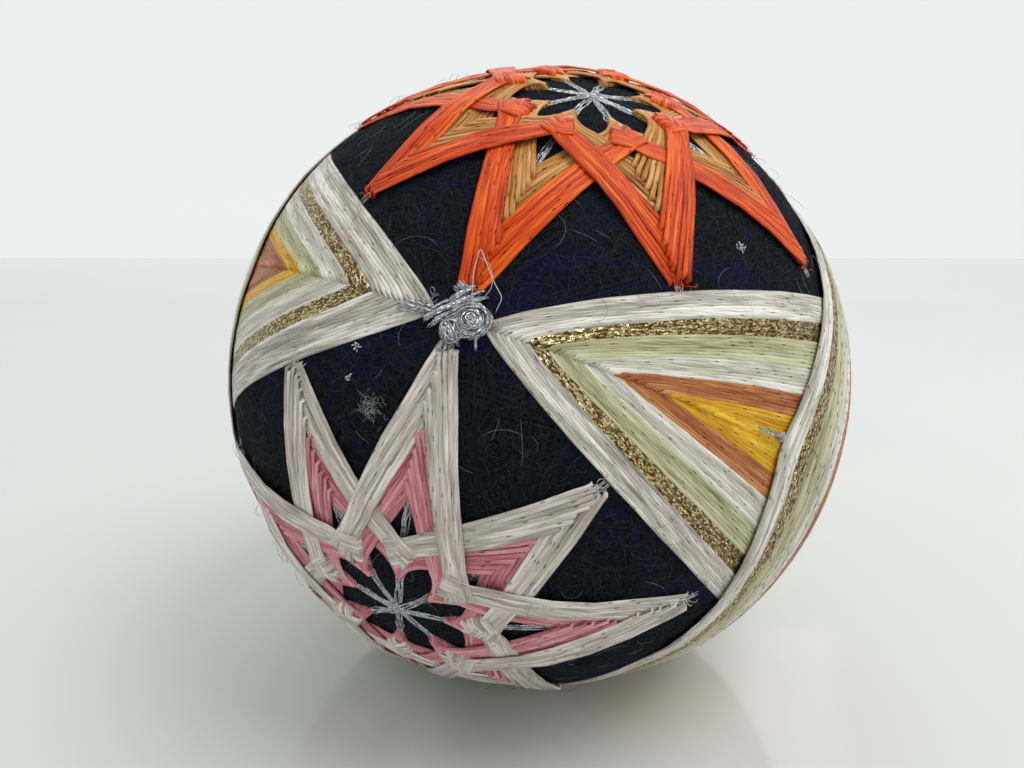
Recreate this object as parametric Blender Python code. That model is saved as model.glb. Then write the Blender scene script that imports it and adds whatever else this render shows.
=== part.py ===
"""An embroidered thread ball, modelled at rest on a small flat spot.

A ball is wound from dark thread, then marked out with silver guide lines that divide it into
eighths. Four eight-pointed stars lie on its faces, four long spindles of laid thread cross in
pairs between them, and a silver knot binds each place where two spindles begin.
Metres, +Z up, origin at the middle of the flat spot that the ball rests on.
"""

import math

import bmesh
import bpy
import numpy as np
from mathutils import Euler

# the wound ball
BALL_RADIUS = 0.0386
FLAT_SPOT_RADIUS = 0.0085
SPHERE_SUBDIVISIONS = 4
UNEVEN_HEIGHT = 0.00012
# columns: direction of a swell across the ball, waves over one radius, phase in radians
SWELLS = (
    ((0.8, 0.1, 0.6), 3.1, 0.4),
    ((-0.3, 0.9, 0.3), 3.9, 1.7),
    ((0.2, -0.5, 0.8), 4.6, 2.9),
)

# how the pattern is turned on the ball as it lies, degrees about X, then Y, then Z
PATTERN_TURN = (-15.7, 21.2, -114.0)

# clearances and thicknesses of the laid thread, metres above the wound ball
GAP = 0.0003
FLOOR_GAP = 0.0003
SAG = 0.00012  # a band made of flat facets comes this much nearer the ball between its points
LAYER = 0.00045
UNDER = GAP + SAG
UNDER_TOP = UNDER + LAYER
OVER = UNDER_TOP + GAP + SAG
LIFT_STEP = 0.00004  # one leg of a point lies this much higher than its mate
OVER_SET_LIFT = 0.00016  # the four points worked last lie this much higher

# a star: angles in degrees at the middle of the ball
OUTER_SPAN = 10.5  # along a guide line, what the outer colour's rounds take up at a point
OUTER_STITCH = 15.0  # where the last round turns, from the star's middle
INNER_STITCH = 11.3  # where the outer colour's first round turns
PLATE_HOLE = 8.2  # the open middle, where the guide lines show
PLATE_CLEARANCE = 2.3  # how far the inner colour's tip keeps back from the outer colour
PLATE_RINGS = 4
PLATE_STEPS = 2  # from a point to the notch beside it
VALLEY = 13.8  # depth of the notch between two points of the inner colour
# share of the way along a leg, and whether it has climbed over the crossing there
LEG_STATIONS = (
    (-0.03, 0.0),
    (0.15, 0.0),
    (0.32, 0.0),
    (0.47, 0.0),
    (0.62, 1.0),
    (0.85, 1.0),
    (1.08, 1.0),
)

# a spindle: angles in degrees, measured along it from one tip and across it from its middle line
SPINDLE_STATIONS = 18
LOWER_BULGE, UPPER_BULGE = 0.87, 1.0  # powers of a sine: under 1, the side leaves its tip steeply
WHITE_HALF_WIDTH = 29.5
# tip and half width of the outermost thread of the white, the gold and the inner colours
RIGHT_LOWER_BANDS = ((4.4, WHITE_HALF_WIDTH), (9.2, 25.0), (12.0, 21.5))
RIGHT_UPPER_BANDS = ((4.4, WHITE_HALF_WIDTH), (9.4, 26.4), (12.4, 24.0))
LEFT_BANDS = ((4.6, WHITE_HALF_WIDTH), (14.6, 24.4), (18.6, 21.7))
BAND_GAP = 0.5  # between two colours, across the spindle
BAND_TIP_GAP = 0.9
RING_COLUMNS = 3
HEART_COLUMNS = 6
UPPER_SPREAD = 1.12  # the spindle laid last is drawn this much wider
CLIMB_FROM, CLIMB_TO = 40.0, 52.0  # where the upper spindle rises over the lower one
TACK_PULL, TACK_REACH = 7.0, 30.0  # the upper spindle's side is tacked outwards at its middle

# guide lines and knots
GUIDE_REACH = 7.4  # degrees
GUIDE_WIDTH = 0.0009
KNOT_ROLL_RADIUS = 0.00075
KNOT_ROLL_LENGTH = 0.0062

ORANGE, TAN = "D9481C", "B98447"
PINK, CREAM = "D0788C", "DCD3C8"
WHITE, GOLD, PALE_GREEN = "CDCABB", "A3874A", "BFC095"
SILVER, MIDNIGHT = "B9BFC4", "12141C"

# the four stars: name, middle, reference point, where its stitched middle has strayed to in
# degrees and degrees of azimuth, the set of points on top (0 aims at the knots), and its colours
STARS = (
    ("star_orange_top", (0, 0, 1), (1, 0, 1), (1.4, 130), 1, ORANGE, TAN),
    ("star_pink_front", (1, 0, 0), (1, 0, 1), (2.6, -175), 0, CREAM, PINK),
    ("star_orange_under", (0, 0, -1), (-1, 0, -1), (1.0, 60), 1, ORANGE, TAN),
    ("star_pink_back", (-1, 0, 0), (-1, 0, -1), (1.2, 20), 0, CREAM, PINK),
)

# each star's eight tips, columns: reach from its middle and azimuth from its reference, degrees
TIPS = {
    "star_orange_top": (
        (41.0, -1), (37.0, 44), (43.6, 87), (36.9, 134),
        (41.2, 181), (36.2, 226), (41.8, 271), (36.7, 320),
    ),
    "star_pink_front": (
        (40.6, 1), (38.0, 42), (41.6, 90), (36.4, 136),
        (41.4, 179), (36.8, 225), (43.4, 277), (36.6, 317),
    ),
    "star_orange_under": (
        (41.3, 1), (36.4, 46), (41.7, 89), (36.8, 134),
        (41.0, 180), (36.3, 225), (41.6, 271), (36.7, 316),
    ),
    "star_pink_back": (
        (41.1, 0), (36.9, 44), (41.5, 91), (36.2, 135),
        (41.8, 180), (36.6, 226), (41.2, 269), (36.8, 315),
    ),
}

# the four spindles: name, the tip it starts from, its middle, the way across it, laid last or
# not, and its bands of colour
SPINDLES = (
    ("spindle_right_lower", (1, 0, 1), (0, 1, 0), (-1, 0, 1), False, RIGHT_LOWER_BANDS),
    ("spindle_right_upper", (-1, 0, 1), (0, 1, 0), (1, 0, 1), True, RIGHT_UPPER_BANDS),
    ("spindle_left_lower", (1, 0, 1), (0, -1, 0), (-1, 0, 1), False, LEFT_BANDS),
    ("spindle_left_upper", (-1, 0, 1), (0, -1, 0), (1, 0, 1), True, LEFT_BANDS),
)

# the four knots: where each sits, and the turns of its lower and upper roll in degrees from the
# line between two stars, so that both lie between the points that meet there
KNOTS = (
    ("knot_front", (1, 0, 1), 131, 52),
    ("knot_top", (-1, 0, 1), 44, 136),
    ("knot_under", (1, 0, -1), 47, 140),
    ("knot_back", (-1, 0, -1), 134, 41),
)

TURN = np.array(Euler([math.radians(angle) for angle in PATTERN_TURN]).to_matrix())
CENTRE = np.array([0, 0, math.sqrt(BALL_RADIUS**2 - FLAT_SPOT_RADIUS**2)])


def unit(vector):
    """The vector, or each row of an array of them, made one long."""
    vector = np.asarray(vector, float)
    return vector / np.linalg.norm(vector, axis=-1, keepdims=True)


def swell(directions):
    """Height of the ball's slow unevenness: three crossed sine waves over the sphere."""
    height = np.zeros(directions.shape[:-1])
    for across, waves, phase in SWELLS:
        height += np.sin(directions @ unit(across) * waves + phase)
    return height * UNEVEN_HEIGHT / len(SWELLS)


def lift(directions, height):
    """Points over the wound ball: directions in the pattern's frame, height above its surface."""
    radius = BALL_RADIUS + swell(directions) + height
    return directions * radius[..., None] @ TURN.T + CENTRE


def along(start, end, share):
    """Directions on the great circle from start to end, at each share of the way."""
    share = np.asarray(share, float)[..., None]
    angle = math.acos(float(np.clip(start @ end, -1, 1)))
    return (np.sin((1 - share) * angle) * start + np.sin(share * angle) * end) / math.sin(angle)


def polar(middle, reference, reach, azimuth):
    """Directions at a reach from the middle, turned by an azimuth from the reference, degrees."""
    first = unit(reference - (reference @ middle) * middle)
    second = np.cross(middle, first)
    reach, azimuth = np.radians(reach)[..., None], np.radians(azimuth)[..., None]
    outward = np.cos(azimuth) * first + np.sin(azimuth) * second
    return np.cos(reach) * middle + np.sin(reach) * outward


def linear(code):
    """An sRGB hex code as linear red, green, blue and alpha."""
    channels = [int(code[i : i + 2], 16) / 255 for i in (0, 2, 4)]
    return [c / 12.92 if c < 0.04045 else ((c + 0.055) / 1.055) ** 2.4 for c in channels] + [1]


def finish(mesh_object, colour, roughness, metallic):
    """Gives the object its own material and smooth shading."""
    material = bpy.data.materials.new(mesh_object.name)
    material.use_nodes = True
    shader = material.node_tree.nodes["Principled BSDF"]
    shader.inputs["Base Color"].default_value = linear(colour)
    shader.inputs["Roughness"].default_value = roughness
    shader.inputs["Metallic"].default_value = metallic
    mesh_object.data.materials.clear()
    mesh_object.data.materials.append(material)
    mesh_object.data.shade_smooth()
    mesh_object.data.set_sharp_from_angle(angle=math.radians(35))
    return mesh_object


def object_of(name, mesh):
    made = bpy.data.objects.new(name, mesh)
    bpy.context.scene.collection.objects.link(made)
    return made


def slab(name, rows, low, high, ring=False):
    """A closed solid between two heights over a grid of directions.

    rows[i, j] is a direction. A ring joins the last row to the first, and other slabs get ends.
    """
    count, width = rows.shape[:2]
    low = np.broadcast_to(np.reshape(low, (-1, 1)), (count, width))
    high = np.broadcast_to(np.reshape(high, (-1, 1)), (count, width))
    points = np.concatenate([lift(rows, low).reshape(-1, 3), lift(rows, high).reshape(-1, 3)])
    grid = np.arange(count * width).reshape(count, width)
    top = count * width
    if ring:
        grid = np.vstack([grid, grid[:1]])
    faces = np.stack([grid[:-1, :-1], grid[1:, :-1], grid[1:, 1:], grid[:-1, 1:]], -1)
    faces = [faces.reshape(-1, 4), faces.reshape(-1, 4) + top]
    edges = [grid[:, 0], grid[:, -1]]
    if not ring:
        edges += [grid[0], grid[-1]]
    for edge in edges:
        faces.append(np.stack([edge[:-1], edge[1:], edge[1:] + top, edge[:-1] + top], -1))
    mesh = bpy.data.meshes.new(name)
    mesh.from_pydata(points.tolist(), [], np.concatenate(faces).tolist())
    shape = bmesh.new()
    shape.from_mesh(mesh)
    bmesh.ops.recalc_face_normals(shape, faces=shape.faces)
    shape.to_mesh(mesh)
    shape.free()
    return object_of(name, mesh)


def combined(name, first, others, operation):
    """The first object joined with, or cut by, the others. The helpers are removed."""
    helpers = bpy.data.collections.new(name + "_helpers")
    bpy.context.scene.collection.children.link(helpers)
    for other in others:
        helpers.objects.link(other)
    boolean = first.modifiers.new(operation.lower(), "BOOLEAN")
    boolean.operation = operation
    boolean.operand_type = "COLLECTION"
    boolean.collection = helpers
    boolean.solver = "EXACT"
    graph = bpy.context.evaluated_depsgraph_get()
    mesh = bpy.data.meshes.new_from_object(first.evaluated_get(graph))
    mesh.name = name
    for helper in [first, *others]:
        bpy.data.objects.remove(helper)
    bpy.data.collections.remove(helpers)
    return object_of(name, mesh)


def clear_of_floor(made):
    """The object, trimmed just above the floor where the resting spot would crush it."""
    if min(vertex.co.z for vertex in made.data.vertices) > FLOOR_GAP:
        return made
    shape = bmesh.new()
    bmesh.ops.create_cube(shape, size=2 * BALL_RADIUS)
    bmesh.ops.translate(shape, vec=(0, 0, FLOOR_GAP - BALL_RADIUS), verts=shape.verts)
    mesh = bpy.data.meshes.new("floor_cutter")
    shape.to_mesh(mesh)
    shape.free()
    return combined(made.name, made, [object_of("floor_cutter", mesh)], "DIFFERENCE")


def wound_ball():
    """The ball: an uneven sphere, sliced flat where it rests."""
    shape = bmesh.new()
    bmesh.ops.create_icosphere(shape, subdivisions=SPHERE_SUBDIVISIONS, radius=1)
    directions = unit([vertex.co for vertex in shape.verts])
    for vertex, point in zip(shape.verts, lift(directions, np.zeros(len(directions)))):
        vertex.co = point
    whole = [*shape.verts, *shape.edges, *shape.faces]
    bmesh.ops.bisect_plane(
        shape, geom=whole, plane_co=(0, 0, 0), plane_no=(0, 0, 1), clear_inner=True
    )
    rim = [edge for edge in shape.edges if edge.is_boundary]
    bmesh.ops.holes_fill(shape, edges=rim)
    bmesh.ops.recalc_face_normals(shape, faces=shape.faces)
    mesh = bpy.data.meshes.new("wound_ball")
    shape.to_mesh(mesh)
    shape.free()
    return finish(object_of("wound_ball", mesh), MIDNIGHT, 0.9, 0.0)


def star_points(name, middle, reference, stray):
    """The stitched middle of a star and the directions of its tips."""
    middle, reference = unit(middle), unit(reference)
    reach, azimuth = np.array(TIPS[name]).T
    tips = polar(middle, reference, reach, azimuth)
    return polar(middle, reference, np.array(stray[0]), np.array(stray[1])), tips


def star_legs(name, middle, tips, top_set, colour):
    """The outer colour: sixteen straight legs, two from each point, fused where they cross.

    A leg runs from its point to the guide line beside it, so it crosses its neighbours' legs
    and the next point's leg ends on the same line.
    """
    legs = []
    stations = np.array([station[0] for station in LEG_STATIONS])
    climb = np.array([station[1] for station in LEG_STATIONS])
    for number in range(len(tips)):
        whole_reach = math.degrees(math.acos(float(middle @ tips[number])))
        shoulder = along(middle, tips[number], 1 - OUTER_SPAN / whole_reach)
        for side in (-1, 1):
            line = tips[(number + side) % len(tips)]
            line_reach = math.degrees(math.acos(float(middle @ line)))
            outer = along(tips[number], along(middle, line, OUTER_STITCH / line_reach), stations)
            inner = along(shoulder, along(middle, line, INNER_STITCH / line_reach), stations)
            rows = unit(np.stack([outer, inner], 1))
            lifted = (number % 2 == top_set) * OVER_SET_LIFT + (side > 0) * LIFT_STEP
            low = UNDER + climb * (OVER - UNDER + lifted)
            high = low + LAYER + (side > 0) * LIFT_STEP + (number % 2) * LIFT_STEP / 2
            clear = (lift(rows, np.stack([high, high], 1))[..., 2] > FLOOR_GAP).all(axis=1)
            first = 0 if clear.all() else len(clear) - int(np.argmin(clear[::-1]))
            if len(clear) - first >= 2:
                legs.append(slab("leg", rows[first:], low[first:], high[first:]))
    star = combined(name, legs[0], legs[1:], "UNION")
    return finish(star, colour, 0.45, 0.0)


def star_plate(name, middle, tips, colour):
    """The inner colour: a thin eight-pointed plate under the crossings, open in its middle."""
    outline = []
    for number in range(len(tips)):
        line, next_line = tips[number], tips[(number + 1) % len(tips)]
        reach = math.degrees(math.acos(float(middle @ line)))
        next_reach = math.degrees(math.acos(float(middle @ next_line)))
        point = along(middle, line, 1 - (OUTER_SPAN + PLATE_CLEARANCE) / reach)
        next_point = along(middle, next_line, 1 - (OUTER_SPAN + PLATE_CLEARANCE) / next_reach)
        halfway = unit(unit(point) + unit(next_point))
        halfway_reach = math.degrees(math.acos(float(middle @ halfway)))
        notch = along(middle, halfway, VALLEY / halfway_reach)
        share = np.arange(PLATE_STEPS) / PLATE_STEPS
        outline.append(along(unit(point), unit(notch), share))
        outline.append(along(unit(notch), unit(next_point), share))
    outline = unit(np.concatenate(outline))
    rows = []
    for direction in outline:
        reach = math.degrees(math.acos(float(middle @ direction)))
        hole = PLATE_HOLE / reach
        rows.append(along(middle, direction, hole + (1 - hole) * np.linspace(0, 1, PLATE_RINGS)))
    plate = slab(name, unit(rows), UNDER, UNDER_TOP, ring=True)
    return finish(clear_of_floor(plate), colour, 0.45, 0.0)


def guide_lines(name, middle, tips):
    """The silver guide lines that meet in the open middle of a star, as one eight-armed piece."""
    half = GUIDE_WIDTH / 2 / BALL_RADIUS
    bars = []
    for number in range(len(tips) // 2):
        line = unit(tips[number] - (tips[number] @ middle) * middle)
        side = np.cross(middle, line)
        reach = np.radians(np.linspace(-GUIDE_REACH, GUIDE_REACH, 5))[:, None]
        run = np.cos(reach) * middle + np.sin(reach) * line
        rows = unit(np.stack([run - half * side, run + half * side], 1))
        raised = number * LIFT_STEP
        bars.append(slab("bar", rows, UNDER + raised, UNDER + LAYER / 2 + 2 * raised))
    return finish(combined(name, bars[0], bars[1:], "UNION"), SILVER, 0.3, 0.9)


def spindle_line(tip, half_width, side, shares, frame, upper):
    """Directions of one thread of a spindle, from tip to tip on one side of its middle line.

    The side swells as a power of a sine. The upper spindle's side is pulled out at its middle.
    """
    start, middle, across = frame
    length = 180 - 2 * tip
    lengthwise = tip + shares * length
    spread = half_width * (UPPER_SPREAD if upper else 1)
    bulge = UPPER_BULGE if upper else LOWER_BULGE
    crosswise = spread * np.sin(np.pi * shares).clip(0) ** bulge
    if upper:
        pull = np.clip(1 - np.abs(lengthwise - 90) / TACK_REACH, 0, 1)
        crosswise = crosswise + TACK_PULL * pull * (half_width / WHITE_HALF_WIDTH) ** 2
    lengthwise, crosswise = np.radians(lengthwise), side * np.radians(crosswise)
    run = np.cos(lengthwise)[:, None] * start + np.sin(lengthwise)[:, None] * middle
    return np.cos(crosswise)[:, None] * run + np.sin(crosswise)[:, None] * across


def spindle_height(shares, tip, upper):
    """Height of a spindle's underside: the upper one climbs over the lower one."""
    if not upper:
        return np.full(len(shares), UNDER)
    lengthwise = tip + shares * (180 - 2 * tip)
    from_end = np.minimum(lengthwise, 180 - lengthwise)
    climb = np.clip((from_end - CLIMB_FROM) / (CLIMB_TO - CLIMB_FROM), 0, 1)
    return UNDER + (OVER - UNDER) * climb


def spindle_ring(name, outer, inner, frame, upper, colour, metallic):
    """One colour of a spindle: a closed ring of laid thread that is pointed at both tips."""
    shares = np.linspace(0, 1, SPINDLE_STATIONS + 1)
    blend = np.linspace(0, 1, RING_COLUMNS)[None, :, None]
    rows, heights = [], []
    for side, order in ((1, shares[:-1]), (-1, shares[:0:-1])):
        outside = spindle_line(*outer, side, order, frame, upper)
        inside = spindle_line(*inner, side, order, frame, upper)
        rows.append(outside[:, None] * (1 - blend) + inside[:, None] * blend)
        heights.append(spindle_height(order, outer[0], upper))
    low = np.concatenate(heights)
    ring = slab(name, unit(np.concatenate(rows)), low, low + LAYER, ring=True)
    return finish(clear_of_floor(ring), colour, 0.4, metallic)


def spindle_heart(name, band, frame, upper):
    """The inner colours of a spindle: one leaf-shaped pad of laid thread."""
    ends = 0.5 / SPINDLE_STATIONS  # the leaf's tips are blunt by half a station
    shares = np.linspace(ends, 1 - ends, SPINDLE_STATIONS)
    left = spindle_line(*band, 1, shares, frame, upper)
    right = spindle_line(*band, -1, shares, frame, upper)
    blend = np.linspace(0, 1, HEART_COLUMNS)[None, :, None]
    rows = unit(left[:, None] * (1 - blend) + right[:, None] * blend)
    low = spindle_height(shares, band[0], upper)
    return finish(clear_of_floor(slab(name, rows, low, low + LAYER)), PALE_GREEN, 0.4, 0.0)


def roll(name, middle, azimuth, height, radius, length):
    """A short roll of wrapped thread with rounded ends, lying on the ball along an azimuth."""
    first = unit(np.cross(middle, (0, 1, 0)))
    second = np.cross(middle, first)
    lengthwise = math.cos(azimuth) * first + math.sin(azimuth) * second
    across = np.cross(middle, lengthwise)
    sides, rings = 8, 7
    shape = bmesh.new()
    bmesh.ops.create_uvsphere(shape, u_segments=sides, v_segments=rings, radius=1)
    frame = np.stack([across, middle, lengthwise]) @ TURN.T
    base = (BALL_RADIUS + height + radius) * middle @ TURN.T + CENTRE
    for vertex in shape.verts:
        sizes = np.array(vertex.co) * (radius, radius, length / 2)
        vertex.co = base + sizes @ frame
    bmesh.ops.recalc_face_normals(shape, faces=shape.faces)
    mesh = bpy.data.meshes.new(name)
    shape.to_mesh(mesh)
    shape.free()
    return object_of(name, mesh)


def knot(name, middle, lower_turn, upper_turn):
    """A silver knot: two crossed rolls of wrapped thread, the second bound over the first."""
    middle = unit(middle)
    size = KNOT_ROLL_RADIUS
    lower_turn, upper_turn = math.radians(lower_turn), math.radians(upper_turn)
    under = roll("roll", middle, lower_turn, GAP, size, KNOT_ROLL_LENGTH)
    over = roll("roll", middle, upper_turn, GAP + size, size, 0.85 * KNOT_ROLL_LENGTH)
    return finish(combined(name, under, [over], "UNION"), SILVER, 0.3, 0.9)


def build():
    for leftover in list(bpy.data.objects):
        bpy.data.objects.remove(leftover)
    wound_ball()
    for name, middle, reference, stray, top_set, outer_colour, inner_colour in STARS:
        stitched_middle, tips = star_points(name, middle, reference, stray)
        star_plate(name + "_inner", stitched_middle, tips, inner_colour)
        star_legs(name + "_outer", stitched_middle, tips, top_set, outer_colour)
        guide_lines(name.replace("star", "guide"), stitched_middle, tips)
    for name, tip, middle, across, upper, bands in SPINDLES:
        frame = unit(tip), unit(middle), unit(across)
        white, gold, heart = bands
        white_inside = gold[0] - BAND_TIP_GAP, gold[1] + BAND_GAP
        gold_inside = heart[0] - BAND_TIP_GAP, heart[1] + BAND_GAP
        spindle_ring(name + "_white", white, white_inside, frame, upper, WHITE, 0.0)
        spindle_ring(name + "_gold", gold, gold_inside, frame, upper, GOLD, 0.8)
        spindle_heart(name + "_heart", heart, frame, upper)
    for name, middle, lower_turn, upper_turn in KNOTS:
        knot(name, middle, lower_turn, upper_turn)


build()
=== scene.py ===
import math

import bpy
import numpy as np
from mathutils import Euler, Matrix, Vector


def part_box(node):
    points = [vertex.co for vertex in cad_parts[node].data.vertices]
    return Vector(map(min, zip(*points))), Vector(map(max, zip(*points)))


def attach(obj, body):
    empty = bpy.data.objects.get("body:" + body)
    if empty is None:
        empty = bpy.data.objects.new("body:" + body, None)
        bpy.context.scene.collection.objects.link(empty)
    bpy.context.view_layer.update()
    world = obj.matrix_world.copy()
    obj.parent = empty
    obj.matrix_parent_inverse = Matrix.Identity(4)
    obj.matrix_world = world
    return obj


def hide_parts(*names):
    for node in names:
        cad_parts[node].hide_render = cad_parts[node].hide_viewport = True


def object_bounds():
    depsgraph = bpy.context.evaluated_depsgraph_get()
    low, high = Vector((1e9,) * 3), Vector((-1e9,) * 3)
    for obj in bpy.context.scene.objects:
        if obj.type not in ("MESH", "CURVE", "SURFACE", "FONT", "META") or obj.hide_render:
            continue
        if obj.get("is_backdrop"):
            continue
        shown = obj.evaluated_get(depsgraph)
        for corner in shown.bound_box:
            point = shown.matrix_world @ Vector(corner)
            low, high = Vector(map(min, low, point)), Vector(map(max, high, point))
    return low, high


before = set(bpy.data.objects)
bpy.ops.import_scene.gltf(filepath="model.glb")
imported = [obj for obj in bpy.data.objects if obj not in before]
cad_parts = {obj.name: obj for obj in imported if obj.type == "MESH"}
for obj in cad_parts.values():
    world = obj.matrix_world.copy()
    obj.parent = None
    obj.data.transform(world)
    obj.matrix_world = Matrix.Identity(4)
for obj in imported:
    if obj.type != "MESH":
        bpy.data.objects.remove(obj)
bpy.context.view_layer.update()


# The wound ball.
# The real one is dark woollen yarn wound in every direction over a firm core until it is round.
# It is black with navy patches, felted at the surface, and a little flat where it rests.
MM = 0.001
PATTERN_TURN = (-15.7, 21.2, -114.0)  # degrees about X, then Y, then Z, as the ball lies
BALL_COLUMNS, BALL_ROWS = 320, 160
PILE = 0.30 * MM  # the wool stands this proud of the ball's solid
PRESSED = 0.19 * MM  # nothing that is laid on the ball goes nearer the floor than this
RELIEF_WAVES = 48
RELIEF_LENGTHS = (1.3 * MM, 6.0 * MM)
RELIEF_HEIGHT = 0.016 * MM
WINDINGS, TURNS_EACH = 30, 4  # the last turns of the yarn, in bunches
YARN_WIDTH = 0.42 * MM
YARN_STATIONS = 84
YARN_PITCH, YARN_STRAY = 1.15 * YARN_WIDTH, 4.5 * MM  # between turns, and off the middle

ball_low, ball_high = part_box("wound_ball")
BALL_RADIUS = (ball_high.x - ball_low.x) / 2
CENTRE = np.array([0, 0, ball_high.z - BALL_RADIUS])
TURN = np.array(Euler(np.radians(PATTERN_TURN)).to_matrix())


def unit(vectors):
    """Each vector divided by its own length."""
    vectors = np.asarray(vectors, float)
    return vectors / np.linalg.norm(vectors, axis=-1, keepdims=True)


def relief(directions, seed):
    """Soft lumps: a sum of sine waves over the ball, in seeded directions and wavelengths."""
    rng = np.random.default_rng(seed)
    way = unit(rng.normal(size=(RELIEF_WAVES, 3)))
    length = rng.uniform(*RELIEF_LENGTHS, RELIEF_WAVES)
    phase = rng.uniform(0, 2 * math.pi, RELIEF_WAVES)
    waves = np.sin(directions @ (way * (2 * math.pi * BALL_RADIUS / length)[:, None]).T + phase)
    return waves @ (length / length.mean()) * RELIEF_HEIGHT / 2


def lift(directions, height):
    """Points over the ball: directions in the pattern's frame times radius and height, turned."""
    radius = BALL_RADIUS + np.asarray(height, float)
    points = directions * np.broadcast_to(radius, directions.shape[:-1])[..., None]
    return points @ TURN.T + CENTRE


def linear(code):
    """An sRGB hex code as linear red, green, blue and alpha."""
    channels = [int(code[i : i + 2], 16) / 255 for i in (0, 2, 4)]
    return [c / 12.92 if c < 0.04045 else ((c + 0.055) / 1.055) ** 2.4 for c in channels] + [1]


def add(tree, kind, inputs=None, out=0, **settings):
    """Adds one shader node, sets it up, gives each input a value or a link, returns an output."""
    node = tree.nodes.new("ShaderNode" + kind)
    for name, value in settings.items():
        setattr(node, name, value)
    for socket, value in (inputs or {}).items():
        if isinstance(value, bpy.types.NodeSocket):
            tree.links.new(value, node.inputs[socket])
        else:
            node.inputs[socket].default_value = value
    return node.outputs[out]


def finish_of(name, build):
    """A material whose surface is what build makes in its node tree."""
    material = bpy.data.materials.new(name)
    material.use_nodes = True
    tree = material.node_tree
    tree.nodes.clear()
    add(tree, "OutputMaterial", {"Surface": build(tree)}, out=slice(0))
    return material


def piece(name, mesh, material, slot, *nodes):
    """A piece of the ball that rides on its one body and stands for the nodes that it covers."""
    made = bpy.data.objects.new(name, mesh)
    bpy.context.scene.collection.objects.link(made)
    mesh.materials.append(material)
    mesh.shade_smooth()
    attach(made, "root")
    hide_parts(*nodes)
    return made


def ball_mesh():
    """Rings of directions from pole to pole at the ball's radius plus pile and relief, cut flat."""
    down = np.linspace(0, math.pi, BALL_ROWS + 1)[1:-1, None]
    round_ = np.arange(BALL_COLUMNS)[None] * 2 * math.pi / BALL_COLUMNS
    rings = [np.sin(down) * np.cos(round_), np.sin(down) * np.sin(round_)]
    rings = np.stack([*rings, np.cos(down) + 0 * round_], -1).reshape(-1, 3)
    directions = np.vstack([rings, [(0, 0, 1), (0, 0, -1)]])
    points = lift(directions, PILE + relief(directions, 5))
    points[:, 2] = points[:, 2].clip(0)
    grid = np.arange(len(rings)).reshape(BALL_ROWS - 1, BALL_COLUMNS)
    after = np.roll(grid, -1, axis=1)
    quads = np.stack([grid[:-1], grid[1:], after[1:], after[:-1]], -1).reshape(-1, 4)
    top = np.stack([grid[0], after[0], np.full(BALL_COLUMNS, len(rings))], -1)
    bottom = np.stack([after[-1], grid[-1], np.full(BALL_COLUMNS, len(rings) + 1)], -1)
    mesh = bpy.data.meshes.new("wool_ball")
    mesh.from_pydata(points, [], quads.tolist() + top.tolist() + bottom.tolist())
    return mesh


def felted_wool(tree):
    """Matt black wool with navy blotches about 3 mm wide; hair-fine swirls lighten and raise it."""
    place = add(tree, "TexCoord", out="Object")
    field = add(tree, "TexNoise", {"Vector": place, "Scale": 75, "Detail": 2})
    blotch = add(tree, "TexNoise", {"Vector": place, "Scale": 330, "Detail": 3, "Distortion": 1.2})
    both = add(tree, "Math", {0: field, 1: blotch}, operation="ADD")
    navy = add(tree, "MapRange", {"Value": both, "From Min": 1.05, "From Max": 1.2})
    matted = {"Vector": place, "Scale": 1100, "Detail": 6, "Distortion": 3.0}
    hairs = add(tree, "TexNoise", matted)
    swirl = add(tree, "MapRange", {"Value": hairs, "From Min": 0.42, "From Max": 0.72})
    base = add(tree, "MixRGB", {0: navy, 1: linear("080A0C"), 2: linear("0D0D24")})
    light = add(tree, "MixRGB", {0: navy, 1: linear("252B2F"), 2: linear("201F47")})
    colour = add(tree, "MixRGB", {0: swirl, 1: base, 2: light})
    bump = add(tree, "Bump", {"Height": hairs, "Strength": 1.0, "Distance": 0.32 * MM})
    shader = {"Base Color": colour, "Roughness": 0.95, "Normal": bump, "Specular IOR Level": 0.1}
    return add(tree, "BsdfPrincipled", shader)


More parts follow.
